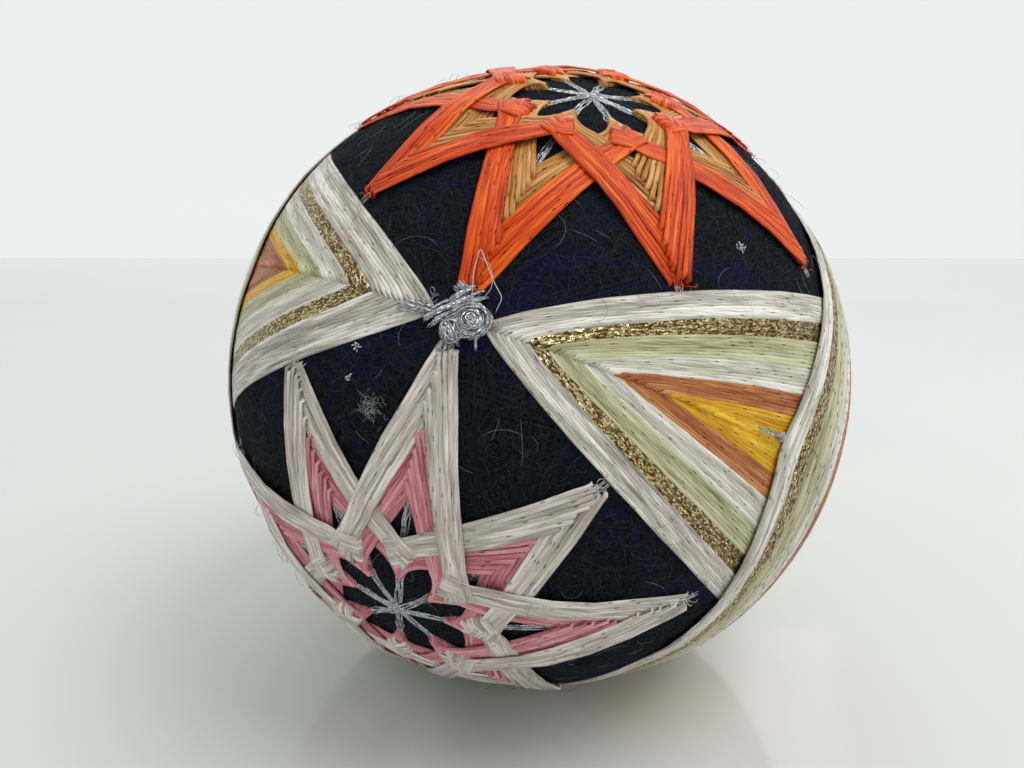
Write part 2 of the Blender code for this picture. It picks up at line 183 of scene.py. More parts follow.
def threads(name, paths, width, thickness, sides=6, seed=1):
    """Laid threads as one closed mesh.

    paths[t, n] is a thread's middle line. The section is an ellipse of width across the ball
    and thickness out of it, carried along the line and drawn in at both ends. The UV map holds
    millimetres along the thread and the share of the way round it, and the attribute strand
    holds a number of each thread's own.
    """
    paths = paths.copy()
    paths[..., 2] = paths[..., 2].clip(PRESSED)
    count, stations = paths.shape[:2]
    ahead = np.gradient(paths, axis=1)
    across = unit(np.cross(ahead, paths - CENTRE))
    upward = unit(np.cross(across, ahead))
    full = np.ones(stations)
    full[[0, -1]] = 0.35
    turn = np.arange(sides) * 2 * math.pi / sides
    half_width = (np.broadcast_to(width, (count, stations)) * full / 2)[..., None, None]
    half_thick = (np.broadcast_to(thickness, (count, stations)) * full / 2)[..., None, None]
    points = paths[:, :, None] + half_width * np.cos(turn)[:, None] * across[:, :, None]
    points = points + half_thick * np.sin(turn)[:, None] * upward[:, :, None]
    grid = np.arange(count * stations * sides).reshape(count, stations, sides)
    after = np.roll(grid, -1, axis=2)
    walls = np.stack([grid[:, :-1], grid[:, 1:], after[:, 1:], after[:, :-1]], -1)
    steps = np.linalg.norm(np.diff(paths, axis=1), axis=-1)
    run = np.concatenate([np.zeros((count, 1)), np.cumsum(steps, 1)], 1)[..., None] / MM
    run = run + 0 * turn
    place = np.arange(sides) / sides + 0 * run
    place_after = place + 1 / sides
    corners = [(run[:, :-1], place[:, :-1]), (run[:, 1:], place[:, 1:])]
    corners += [(run[:, 1:], place_after[:, 1:]), (run[:, :-1], place_after[:, :-1])]
    uvs = [np.stack([np.stack(corner, -1) for corner in corners], -2).reshape(-1, 2)]
    faces = [walls.reshape(-1, 4)]
    for second in range(1, sides - 2, 2):
        fan = [0, second, second + 1, second + 2]
        faces.append(grid[:, 0][:, fan])
        faces.append(grid[:, -1][:, fan[::-1]])
        for end in (0, -1):
            flat = np.stack([run[:, end, :4], 0.25 + 0 * run[:, end, :4]], -1)
            uvs.append(flat.reshape(-1, 2))
    faces = np.concatenate(faces)
    mesh = bpy.data.meshes.new(name)
    mesh.vertices.add(points.size // 3)
    mesh.vertices.foreach_set("co", points.ravel())
    mesh.loops.add(faces.size)
    mesh.loops.foreach_set("vertex_index", faces.ravel())
    mesh.polygons.add(len(faces))
    mesh.polygons.foreach_set("loop_start", np.arange(0, faces.size, 4))
    mesh.uv_layers.new(name="thread").data.foreach_set("uv", np.concatenate(uvs).ravel())
    own = np.random.default_rng(seed).uniform(size=count)
    strand = mesh.attributes.new("strand", "FLOAT", "POINT")
    strand.data.foreach_set("value", np.repeat(own, stations * sides))
    mesh.update(calc_edges=True)
    return mesh


def winding_paths():
    """Circles near the ball's middle, in seeded planes, several turns side by side in each."""
    rng = np.random.default_rng(7)
    pole = np.repeat(unit(rng.normal(size=(WINDINGS, 3))), TURNS_EACH, axis=0)
    first = unit(np.cross(pole, pole[:, (1, 2, 0)]))
    second = np.cross(pole, first)
    count = len(pole)
    beside = np.tile(np.arange(TURNS_EACH) - TURNS_EACH / 2, WINDINGS) * YARN_PITCH
    beside = beside + np.repeat(rng.normal(size=WINDINGS) * YARN_STRAY, TURNS_EACH)
    angle = np.linspace(0, 2 * math.pi, YARN_STATIONS)[None]
    phase = rng.uniform(0, 2 * math.pi, (count, 1))
    beside = beside[:, None] + 0.2 * MM * np.sin(3 * angle + phase)
    circle = np.cos(angle)[..., None] * first[:, None] + np.sin(angle)[..., None] * second[:, None]
    circle = circle + (beside / BALL_RADIUS)[..., None] * pole[:, None]
    return lift(unit(circle), PILE + (0.03 * np.sin(5 * angle + phase) - 0.03) * MM)


def thread_place(tree):
    """Millimetres along a thread, the share of the way round it, and its own number."""
    uv = add(tree, "UVMap", uv_map="thread")
    along_it, round_it = [add(tree, "SeparateXYZ", {0: uv}, out=axis) for axis in (0, 1)]
    return along_it, round_it, add(tree, "Attribute", out="Fac", attribute_name="strand")


def spun_wool(tree):
    """Woollen yarn, four turns in five black and one navy, with its plies slanting round it."""
    run, round_, strand = thread_place(tree)
    slant = add(tree, "Math", {0: run, 1: 0.9, 2: round_}, operation="MULTIPLY_ADD")
    slant = add(tree, "Math", {0: slant, 1: 3.0}, operation="MULTIPLY")
    own = add(tree, "Math", {0: strand, 1: 43.0}, operation="MULTIPLY")
    where = add(tree, "CombineXYZ", {0: slant, 1: run, 2: own})
    fibre = add(tree, "TexNoise", {"Vector": where, "Scale": 2.2, "Detail": 4, "Distortion": 0.6})
    shade = add(tree, "MapRange", {"Value": fibre, "From Min": 0.35, "From Max": 0.7})
    navy = add(tree, "Math", {0: strand, 1: 0.8}, operation="GREATER_THAN")
    deep = add(tree, "MixRGB", {0: navy, 1: linear("090B0D"), 2: linear("0F0F28")})
    light = add(tree, "MixRGB", {0: navy, 1: linear("252B30"), 2: linear("201F44")})
    colour = add(tree, "MixRGB", {0: shade, 1: deep, 2: light})
    bump = add(tree, "Bump", {"Height": fibre, "Strength": 0.8, "Distance": 0.12 * MM})
    shader = {"Base Color": colour, "Roughness": 0.95, "Normal": bump, "Specular IOR Level": 0.1}
    return add(tree, "BsdfPrincipled", shader)


wool = finish_of("felted_woollen_yarn", felted_wool)
piece("wound_wool", ball_mesh(), wool, "midnight_wool", "wound_ball")
yarn = finish_of("spun_woollen_yarn", spun_wool)
mesh = threads("winding_turns", winding_paths(), YARN_WIDTH, 0.2 * MM, 4, seed=8)
piece("winding_turns", mesh, yarn, "midnight_wool", "wound_ball")


# The silver guide lines.
# A maker marks the ball in eighths with a pair of crinkled metallic threads along each line.
# They are laid first, so they show only in the stars' open middles, notches and at the tips.
STAR_TABLE = (  # name, middle, reference, stray of its stitched middle in degrees, top set
    ("orange_top", (0, 0, 1), (1, 0, 1), (1.4, 130), 1),
    ("pink_front", (1, 0, 0), (1, 0, 1), (2.6, -175), 0),
    ("orange_under", (0, 0, -1), (-1, 0, -1), (1.0, 60), 1),
    ("pink_back", (-1, 0, 0), (-1, 0, -1), (1.2, 20), 0),
)
POINTS = 8
TIP_TABLE = {  # each tip's reach from the middle and azimuth from the reference, in degrees
    "orange_top": (
        (41.0, -1), (37.0, 44), (43.6, 87), (36.9, 134),
        (41.2, 181), (36.2, 226), (41.8, 271), (36.7, 320),
    ),
    "pink_front": (
        (40.6, 1), (38.0, 42), (41.6, 90), (36.4, 136),
        (41.4, 179), (36.8, 225), (43.4, 277), (36.6, 317),
    ),
    "orange_under": (
        (41.3, 1), (36.4, 46), (41.7, 89), (36.8, 134),
        (41.0, 180), (36.3, 225), (41.6, 271), (36.7, 316),
    ),
    "pink_back": (
        (41.1, 0), (36.9, 44), (41.5, 91), (36.2, 135),
        (41.8, 180), (36.6, 226), (41.2, 269), (36.8, 315),
    ),
}
GUIDE_SPAN = (-0.03, 1.055)  # shares of the way from the middle to the tip
GUIDE_SPACING = 0.13 * MM
GUIDE_WIDTH = 0.17 * MM
GUIDE_STRANDS, GUIDE_STATIONS = 6, 30
GUIDE_WANDER = 0.0022  # radians that a strand strays sideways


def polar(middle, reference, reach, azimuth):
    """Directions at a reach from the middle, turned by an azimuth from the reference, degrees."""
    first = unit(reference - (reference @ middle) * middle)
    second = np.cross(middle, first)
    reach = np.radians(reach)[..., None]
    azimuth = np.radians(azimuth)[..., None]
    outward = np.cos(azimuth) * first + np.sin(azimuth) * second
    return np.cos(reach) * middle + np.sin(reach) * outward


def along(start, end, share):
    """Directions on the great circle from start to end, at each share of the way."""
    share = np.asarray(share, float)[..., None]
    angle = np.arccos(np.clip((start * end).sum(-1), -1, 1))[..., None, None]
    start, end = start[..., None, :], end[..., None, :]
    return (np.sin((1 - share) * angle) * start + np.sin(share * angle) * end) / np.sin(angle)


def reach_of(first, second):
    """Angle between two directions, in degrees."""
    return np.degrees(np.arccos(np.clip((first * second).sum(-1), -1, 1)))


def star_points(name, middle, reference, stray):
    """The stitched middle of a star and the directions of its eight tips."""
    middle, reference = unit(middle), unit(reference)
    reach, azimuth = np.array(TIP_TABLE[name], float).T
    tips = polar(middle, reference, reach, azimuth)
    return polar(middle, reference, np.array(stray[0]), np.array(stray[1])), tips


def guide_paths(middle, tips):
    """Each line runs straight from the star's middle past its tip, its strands side by side."""
    share = np.linspace(*GUIDE_SPAN, GUIDE_STATIONS)
    lines = along(np.broadcast_to(middle, tips.shape), tips, share)
    side = unit(np.cross(np.broadcast_to(middle, tips.shape), tips))[:, None]
    rng = np.random.default_rng(3)
    paths = []
    for strand in range(GUIDE_STRANDS):
        apart = (strand - (GUIDE_STRANDS - 1) / 2) * GUIDE_SPACING / BALL_RADIUS
        wander = rng.normal(size=(len(tips), len(share), 1)) * GUIDE_WANDER
        shifted = unit(lines + (apart + wander) * side)
        raised = (np.arange(len(tips)) % 4 * 0.07 + 0.05) * MM
        middle_rise = np.exp(-((share * 14) ** 2))
        height = PILE + 0.03 * MM + raised[:, None] * middle_rise
        paths.append(lift(shifted, height + strand % 2 * 0.05 * MM))
    return np.concatenate(paths)


def metallised_film(dark, main, painted_glint):
    """Crinkled foil yarn: each small flake, about 0.3 mm, tilts its own way and glints; some flakes
    are tinted near white as painted glints, and the folds along flake borders are darkened with
    painted shade.
    """

    def build(tree):
        uv = add(tree, "UVMap", uv_map="thread")
        strand = add(tree, "Attribute", out="Fac", attribute_name="strand")
        own = add(tree, "Math", {0: strand, 1: 37.0}, operation="MULTIPLY")
        shift = add(tree, "CombineXYZ", {0: own, 1: own, 2: own})
        spread = add(tree, "Mapping", {"Vector": uv, "Scale": (1, 3, 1)})
        moved = add(tree, "VectorMath", {0: spread, 1: shift}, operation="ADD")
        cell = {"Vector": moved, "Scale": 3.2, "Randomness": 1}
        flake = add(tree, "TexVoronoi", cell, out="Color")
        border = add(tree, "TexVoronoi", cell, feature="DISTANCE_TO_EDGE")
        parts = add(tree, "SeparateColor", {0: flake})
        ramp = add(tree, "MapRange", {"Value": parts, "From Min": 0.3, "From Max": 0.95})
        # painted highlight: flakes picked by the ramp are tinted towards a near-white painted glint
        toned = add(tree, "MixRGB", {0: ramp, 1: linear(main), 2: linear(painted_glint)})
        # painted shade: the folds along each flake's border are darkened to the dark colour
        crease_shade = add(tree, "MapRange", {"Value": border, "From Max": 0.12})
        colour = add(tree, "MixRGB", {0: crease_shade, 1: linear(dark), 2: toned})
        tilt = add(tree, "VectorMath", {0: flake, 1: (0.5, 0.5, 0.5)}, operation="SUBTRACT")
        tilt = add(tree, "VectorMath", {0: tilt, "Scale": 1.1}, operation="SCALE")
        normal = add(tree, "NewGeometry", out="Normal")
        leaned = add(tree, "VectorMath", {0: normal, 1: tilt}, operation="ADD")
        leaned = add(tree, "VectorMath", {0: leaned}, operation="NORMALIZE")
        shader = {"Base Color": colour, "Metallic": 0.8, "Roughness": 0.3, "Normal": leaned}
        return add(tree, "BsdfPrincipled", shader)

    return build


# silver foil: painted shade in the folds, its main colour, and a near-white painted glint
silver = finish_of("silver_foil_yarn", metallised_film("43484C", "B6BBBE", "FDFEFF"))
for name, middle, reference, stray, top_set in STAR_TABLE:
    middle, tips = star_points(name, middle, reference, stray)
    mesh = threads("guide_" + name, guide_paths(middle, tips), GUIDE_WIDTH, 0.18 * MM, 4)
    piece("guide_threads_" + name, mesh, silver, "silver_thread", "guide_" + name)


# The four eight-pointed stars.
# Each round of floss runs from a stitch near the middle out to a tip and back to the next line
# but one, so legs cross. The inner colour is worked first, and the outer colour is laid over it.
LEVEL = 0.34 * MM  # one layer of floss over another
FLOSS_WIDTH, FLOSS_THICKNESS = 0.57 * MM, 0.25 * MM
OUTER_ROUNDS, INNER_ROUNDS = 8, 7
# the last round of a colour and its first, in degrees: how far short of the tip each one turns,
# where it nears the next line, where it ends beyond that line, and how far across it
OUTER_SPAN, INNER_SPAN = (0.2, 7.8), (9.2, 18.9)
OUTER_NEAR, INNER_NEAR = (16.3, 13.2), (14.0, 10.7)
OUTER_END, INNER_END = (13.8, 10.0), (9.8, 7.0)
OUTER_ACROSS, INNER_ACROSS = (2.1 * MM, 0.9 * MM), (0.9 * MM, 0.25 * MM)
CROWDING = 2.0  # the last rounds of the outer colour crowd together at the tip by this power
TIP_SIDE, TIP_OVERLAP = 0.9 * MM, 0.4 * MM  # the last round is on its side, others cross over
CROSSING_PACE = 2.4  # counted from the last, the rounds past 1 part in 2.4 cross over fully
PAST_TIP = 0.36 * MM
BESIDE_LINE = 1.0 * MM
BLUNT = np.array((0, 0.14, 0.38, 0.85)) * MM  # stations near both ends of a leg
FREE_FROM = 1.7 * MM  # along a leg, where its even stretch starts
BEND_FROM, BEND_TO = 0.86, 0.4  # shares of the stretches before and after its bend
OVER = 0.95  # layers that a leg gains where it goes over another
CLIMB_AFTER, CLIMB_ALONG = 0.25, 0.22  # shares of a leg's whole length
ROUNDED_END, BURIED = 0.4 * MM, 0.5 * MM
KNOB = 0.3 * MM  # the stitches heap up by this much where legs turn
KNOB_LAST, KNOB_LESS = 1.25, 0.75  # shares of it: on the last round, and less on the first
KNOB_PLACE, KNOB_REACH = 1.7 * MM, 1.5 * MM  # before the end of a leg
TIP_KNOB, TIP_KNOB_REACH = 0.3 * KNOB, 1.2 * MM
UNEVEN, DRIFT = 0.02 * MM, 0.0007  # up and down in metres, and sideways in radians
SLIT_EVERY = 2.4  # millimetres along a thread between the small gaps beside it
SLIT_SIDE = 0.14  # share of the way round the thread from its edge to them


def leg_paths(middle, tips, rounds, span, near, end, across, levels, blunt, top_set, seed):
    """Legs on both sides of each point, round by round.

    A leg is a great circle from beside its point's line to a place beside the next line, and
    there bends to cross it. It dips under the wool at both ends and crosses its mate at the
    tip, where the last rounds of a blunt tip lie side by side first. It climbs over the legs
    of the next point where those are of the other set. The last rounds heap up over the
    first ones where they turn.
    """
    rng = np.random.default_rng(seed)
    age = np.linspace(0, 1, rounds)
    apart = TIP_SIDE * blunt
    own_side = apart - (TIP_OVERLAP + apart) * (CROSSING_PACE * age).clip(0, 1)

    def graded(pair):
        """A value for each round, from the last round's to the first's."""
        return pair[0] + (pair[1] - pair[0]) * age

    starts, bends, ends, low_level, high_level = [], [], [], [], []
    for number in range(POINTS):
        whole = reach_of(middle, tips[number])
        short = span[0] + (span[1] - span[0]) * age ** (CROWDING if blunt else 1)
        out = along(middle, tips[number], 1 - short / whole)
        tip_side = unit(np.cross(middle, tips[number])) / BALL_RADIUS
        for side in (-1, 1):
            line = tips[(number + side) % POINTS]
            line_side = side * unit(np.cross(middle, line)) / BALL_RADIUS
            near_line = along(middle, line, graded(near) / reach_of(middle, line))
            inside = along(middle, line, graded(end) / reach_of(middle, line))
            past = (graded(across) * rng.uniform(0.85, 1.15))[:, None]
            over_mate = side == (1 if number % 2 else -1)
            starts.append(unit(out + side * own_side[:, None] * tip_side))
            bends.append(unit(near_line - BESIDE_LINE * line_side))
            ends.append(unit(inside + past * line_side))
            low_level.append(np.full(rounds, levels[0] + OVER * over_mate))
            high_level.append(np.full(rounds, levels[1] + OVER * (number % 2 == top_set)))
    starts, bends, ends = np.concatenate(starts), np.concatenate(bends), np.concatenate(ends)
    low_level, high_level = np.concatenate(low_level)[:, None], np.concatenate(high_level)[:, None]
    first_length = np.radians(reach_of(starts, bends))[:, None] * BALL_RADIUS
    second_length = np.radians(reach_of(bends, ends))[:, None] * BALL_RADIUS
    early = BLUNT - PAST_TIP * rng.uniform(0, 2, (len(starts), 1))
    plain = FREE_FROM + (BEND_FROM * first_length - FREE_FROM) * np.linspace(0, 1, 5)
    first = along(starts, bends, np.concatenate([early, plain], 1) / first_length)
    last = np.concatenate([BEND_TO * second_length, second_length - BLUNT[::-1]], 1)
    last = along(bends, ends, last / second_length)
    turn = np.array((0.25, 0.5, 0.75))[:, None]
    corner = (1 - turn) ** 2 * first[:, -1:] + turn**2 * last[:, :1]
    corner = unit(corner + 2 * turn * (1 - turn) * bends[:, None])
    directions = np.concatenate([first, corner, last], 1)
    steps = np.linalg.norm(np.diff(directions, axis=1), axis=-1) * BALL_RADIUS
    run = np.concatenate([np.zeros((len(starts), 1)), np.cumsum(steps, 1)], 1)
    whole = run[:, -1:]
    climb = np.clip((run / whole - CLIMB_AFTER) / CLIMB_ALONG, 0, 1)
    level = low_level * (1 - climb) + high_level * climb
    heap = KNOB * (KNOB_LAST - KNOB_LESS * np.tile(age, 2 * POINTS))[:, None]
    height = PILE + FLOSS_THICKNESS * 0.45 + LEVEL * level
    height = height + heap * np.exp(-(((whole - run - KNOB_PLACE) / KNOB_REACH) ** 2))
    height = height + TIP_KNOB * np.exp(-((run / TIP_KNOB_REACH) ** 2))
    sink = np.clip(1 - run / ROUNDED_END, 0, 1) ** 2
    sink = sink + np.clip(1 - (whole - run) / ROUNDED_END, 0, 1) ** 2
    height = height - sink * (BURIED + LEVEL * level)
    height = height + rng.normal(size=height.shape) * UNEVEN
    side_way = unit(np.cross(starts, ends))[:, None]
    drift = rng.normal(size=height.shape) * DRIFT
    return lift(unit(directions + drift[..., None] * side_way), height)


def floss(deep, main, pale, gap_shade):
    """Lustrous stranded floss: lengthwise filaments in three tones of one dye.

    Small gaps open beside a thread where its ply turns, at half of the even places for them, and
    are darkened with painted shade.
    """

    def build(tree):
        run, round_, strand = thread_place(tree)
        twist = add(tree, "Math", {0: run, 1: 0.05, 2: round_}, operation="MULTIPLY_ADD")
        long_ = add(tree, "Math", {0: run, 1: 0.2}, operation="MULTIPLY")
        fine = add(tree, "Math", {0: twist, 1: 11.0}, operation="MULTIPLY")
        own = add(tree, "Math", {0: strand, 1: 61.0}, operation="MULTIPLY")
        where = add(tree, "CombineXYZ", {0: long_, 1: fine, 2: own})
        fibre = add(tree, "TexNoise", {"Vector": where, "Scale": 1.6, "Detail": 4})
        slow = add(tree, "CombineXYZ", {0: long_, 1: own, 2: own})
        cloud = add(tree, "TexNoise", {"Vector": slow, "Scale": 0.8, "Detail": 1})
        tone = add(tree, "Math", {0: fibre, 1: cloud}, operation="ADD")
        tone = add(tree, "Math", {0: strand, 1: 0.22, 2: tone}, operation="MULTIPLY_ADD")
        tone = add(tree, "MapRange", {"Value": tone, "From Min": 0.82, "From Max": 1.36})
        darker = add(tree, "MapRange", {"Value": tone, "From Max": 0.5})
        lighter = add(tree, "MapRange", {"Value": tone, "From Min": 0.5})
        colour = add(tree, "MixRGB", {0: darker, 1: linear(deep), 2: linear(main)})
        colour = add(tree, "MixRGB", {0: lighter, 1: colour, 2: linear(pale)})
        beat = add(tree, "Math", {0: run, 1: 1 / SLIT_EVERY, 2: own}, operation="MULTIPLY_ADD")
        number = add(tree, "Math", {0: beat}, operation="FLOOR")
        chance = add(tree, "TexWhiteNoise", {"W": number}, noise_dimensions="1D")
        chance = add(tree, "Math", {0: chance, 1: 0.5}, operation="GREATER_THAN")
        for step in ("FRACT", "SUBTRACT", "ABSOLUTE"):
            beat = add(tree, "Math", {0: beat, 1: 0.5}, operation=step)
        stretch = {"Value": beat, "From Min": 0.05, "From Max": 0.13, "To Min": 1, "To Max": 0}
        stretch = add(tree, "MapRange", stretch)
        beside = round_
        for step in ("SUBTRACT", "ABSOLUTE"):
            beside = add(tree, "Math", {0: beside, 1: SLIT_SIDE}, operation=step)
        edge = {"Value": beside, "From Min": 0.025, "From Max": 0.06, "To Min": 1, "To Max": 0}
        edge = add(tree, "MapRange", edge)
        slit = add(tree, "Math", {0: stretch, 1: edge}, operation="MULTIPLY")
        slit = add(tree, "Math", {0: slit, 1: chance}, operation="MULTIPLY")
        shown = add(tree, "Math", {0: slit, 1: 0.85}, operation="MULTIPLY")
        # painted shade: the small gaps beside a thread are darkened to the gap shade colour
        colour = add(tree, "MixRGB", {0: shown, 1: colour, 2: linear(gap_shade)})
        relief_ = add(tree, "Math", {0: slit, 1: -1.6, 2: fibre}, operation="MULTIPLY_ADD")
        bump = add(tree, "Bump", {"Height": relief_, "Strength": 0.8, "Distance": 0.09 * MM})
        shader = {"Base Color": colour, "Roughness": 0.33, "Normal": bump}
        shader.update({"Anisotropic": 0.6, "Specular IOR Level": 0.24})
        shader["Tangent"] = add(tree, "Tangent", direction_type="UV_MAP", uv_map="thread")
        return add(tree, "BsdfPrincipled", shader)

    return build


# the fourth colour of each floss is the painted shade in its small gaps
STAR_FLOSS = {  # the outer and inner colours of the two kinds of star
    "orange": (
        finish_of("orange_rayon_floss", floss("A02701", "D54504", "F8741E", "3A0F03")),
        finish_of("tan_rayon_floss", floss("8F5826", "C2853F", "E2AF6E", "3A2410")),
        "orange_silk",
        "tan_silk",
    ),
    "pink": (
        finish_of("cream_rayon_floss", floss("9A8F84", "CABFB4", "F6F0E8", "4C443E")),
        finish_of("pink_rayon_floss", floss("AC5B65", "CE7F87", "EEB0B4", "5A2A30")),
        "cream_silk",
        "pink_silk",
    ),
}
for name, middle, reference, stray, top_set in STAR_TABLE:
    middle, tips = star_points(name, middle, reference, stray)
    outer, inner, outer_slot, inner_slot = STAR_FLOSS[name.split("_")[0]]
    legs = INNER_ROUNDS, INNER_SPAN, INNER_NEAR, INNER_END, INNER_ACROSS, (0.0, 0.1), False
    paths = leg_paths(middle, tips, *legs, top_set, 21)
    mesh = threads("inner_" + name, paths, FLOSS_WIDTH, FLOSS_THICKNESS, seed=22)
    node = f"star_{name}_inner"
    piece(f"star_threads_{name}_inner", mesh, inner, inner_slot, node)
    legs = OUTER_ROUNDS, OUTER_SPAN, OUTER_NEAR, OUTER_END, OUTER_ACROSS, (0.4, 1.35), True
    paths = leg_paths(middle, tips, *legs, top_set, 23)
    mesh = threads("outer_" + name, paths, FLOSS_WIDTH, FLOSS_THICKNESS, seed=24)
    node = f"star_{name}_outer"
    piece(f"star_threads_{name}_outer", mesh, outer, outer_slot, node)


# The four spindles.
# Threads are laid side by side from knot to knot, each turning back round the far knot, so the
# colours nest: white outside, then gold foil, then four colours of floss down to the middle.
# The two spindles of a side cross, and the one laid last lies on top and is tacked outwards.
SPINDLE_STATIONS = 56
LOWER_BULGE, UPPER_BULGE = 0.87, 1.0
UPPER_SPREAD = 1.12
TACK_PULL, TACK_REACH = 7.0, 30.0
CLIMB_FROM, CLIMB_TO = 40.0, 52.0
UPPER_LAYERS, TIP_LAYERS = 1.3, 0.8  # how many a crossing spindle and a crossing tip rise
NEAR_TIP, SINK_ALONG = 2.5, 1.3  # degrees from a thread's tip
SPINDLE_OVERRUN, SPINDLE_BURIED = 0.8 * MM, 0.6 * MM
WIDEST_HALF = 29.5  # degrees from a spindle's middle to its outermost thread

# the fourth colour of each floss is the painted shade in its small gaps
white = finish_of("white_rayon_floss", floss("8C877B", "C0BAAC", "FAF6ED", "45423A"))
# gold foil: painted shade in the folds, its main colour, and a near-white painted glint
gold = finish_of("gold_foil_yarn", metallised_film("251905", "6A4D1C", "FBE9AC"))
green = finish_of("green_rayon_floss", floss("857F55", "B5B38A", "D6D3AE", "45431F"))
grey = finish_of("off_white_rayon_floss", floss("A09D8B", "CDC9B7", "F2EFE3", "494A40"))
terracotta = finish_of("terracotta_rayon_floss", floss("824522", "AD6838", "D08F5C", "35180B"))
yellow = finish_of("yellow_rayon_floss", floss("A8760A", "DAA31C", "F0C63C", "4C3506"))
FLOSSES = {
    "white": (white, "white_silk"),
    "gold": (gold, "gold_thread"),
    "green": (green, "coloured_silk"),
    "grey": (grey, "coloured_silk"),
    "terracotta": (terracotta, "coloured_silk"),
    "yellow": (yellow, "coloured_silk"),
}
# columns: colour, its outermost thread's tip and half width in degrees, threads on each side
RIGHT_LOWER_BANDS = (
    ("white", 2.6, 29.5, 9),
    ("gold", 9.0, 25.0, 5),
    ("green", 11.4, 21.5, 7),
    ("grey", 16.2, 16.5, 7),
    ("terracotta", 20.9, 11.5, 6),
    ("yellow", 28.6, 7.5, 8),
    ("", 40.0, 0.4, 0),
)
RIGHT_UPPER_BANDS = (
    ("white", 3.4, 29.5, 8),
    ("gold", 9.0, 26.4, 5),
    ("green", 12.0, 24.0, 7),
    ("grey", 16.2, 19.5, 7),
    ("terracotta", 20.9, 14.0, 6),
    ("yellow", 28.6, 9.0, 9),
    ("", 40.0, 0.4, 0),
)
LEFT_BANDS = (
    ("white", 4.0, 29.5, 11),
    ("gold", 14.6, 24.4, 5),
    ("grey", 18.6, 21.7, 7),
    ("green", 24.5, 17.4, 7),
    ("yellow", 30.0, 13.2, 4),
    ("terracotta", 34.0, 10.4, 9),
    ("", 46.0, 0.4, 0),
)
SPINDLE_TABLE = (  # name, the tip it starts from, its middle, the way across it, on top, bands
    ("right_lower", (1, 0, 1), (0, 1, 0), (-1, 0, 1), False, RIGHT_LOWER_BANDS),
    ("right_upper", (-1, 0, 1), (0, 1, 0), (1, 0, 1), True, RIGHT_UPPER_BANDS),
    ("left_lower", (1, 0, 1), (0, -1, 0), (-1, 0, 1), False, LEFT_BANDS),
    ("left_upper", (-1, 0, 1), (0, -1, 0), (1, 0, 1), True, LEFT_BANDS),
)
SPINDLE_NODES = {"white": "white", "gold": "gold"}  # the other colours share the node heart


def crosswise_of(share, tip, half_width, upper):
    """Degrees across the spindle: a power of a sine, and a pull at the middle of the upper one."""
    wave = np.sin(math.pi * share)
    bulge = UPPER_BULGE if upper else LOWER_BULGE
    spread = half_width * (UPPER_SPREAD if upper else 1)
    crosswise = spread * np.sign(wave) * np.abs(wave) ** bulge
    lengthwise = tip + share * (180 - 2 * tip)
    pull = np.clip(1 - np.abs(lengthwise - 90) / TACK_REACH, 0, 1)
    return crosswise + upper * TACK_PULL * pull * (half_width / WIDEST_HALF) ** 2


def spindle_paths(tips, half_widths, frame_, upper, seed):
    """Threads on both sides of the middle line: side by side, nested tip within tip."""
    start, middle, across = frame_
    rng = np.random.default_rng(seed)
    tips, half_widths = tips[:, None], half_widths[:, None]
    step = 0.5 - 0.5 * np.cos(math.pi * np.linspace(0, 1, SPINDLE_STATIONS))
    step = 0.5 * step + 0.5 * np.linspace(0, 1, SPINDLE_STATIONS)
    overrun = SPINDLE_OVERRUN / BALL_RADIUS / math.pi
    share = -overrun + (1 + 2 * overrun) * step + 0 * tips
    lengthwise = tips + share * (180 - 2 * tips)
    crosswise = crosswise_of(share, tips, half_widths, upper)
    from_end = np.minimum(lengthwise, 180 - lengthwise)
    climb = np.clip((from_end - CLIMB_FROM) / (CLIMB_TO - CLIMB_FROM), 0, 1)
    level = upper * UPPER_LAYERS * climb * climb * (3 - 2 * climb)
    near_tip = np.clip(1 - (from_end - tips) / NEAR_TIP, 0, 1)
    sink = np.clip(1 - (from_end - tips + overrun * 180) / SINK_ALONG, 0, 1)
    paths = []
    for side in (1, -1):
        jitter = rng.normal(size=share.shape) * 0.035
        sideways = side * np.radians(crosswise + jitter)
        ahead = np.radians(lengthwise)[..., None]
        run = np.cos(ahead) * start + np.sin(ahead) * middle
        directions = np.cos(sideways)[..., None] * run + np.sin(sideways)[..., None] * across
        over = level + (side > 0) * TIP_LAYERS * near_tip
        height = PILE + FLOSS_THICKNESS * 0.45 + LEVEL * over
        height = height - sink**2 * SPINDLE_BURIED + rng.normal(size=share.shape) * 0.015 * MM
        paths.append(lift(directions, height))
    return np.concatenate(paths)


for name, tip, middle, across, upper, bands in SPINDLE_TABLE:
    axes = unit(tip), unit(middle), unit(across)
    for band, after in zip(bands, bands[1:]):
        colour, first_tip, first_half, count = band
        share = (np.arange(count) + 0.5) / count
        tips = first_tip + (after[1] - first_tip) * share
        halves = first_half + (after[2] - first_half) * share
        paths = spindle_paths(tips, halves, axes, upper, 31 + count)
        material, slot = FLOSSES[colour]
        width = (0.46 + 0.12 * np.sin(math.pi * np.linspace(0, 1, SPINDLE_STATIONS))) * MM
        mesh = threads(f"{name}_{colour}", paths, width, FLOSS_THICKNESS, seed=32)
        node = f"spindle_{name}_{SPINDLE_NODES.get(colour, 'heart')}"
        piece(f"spindle_threads_{name}_{colour}", mesh, material, slot, node)


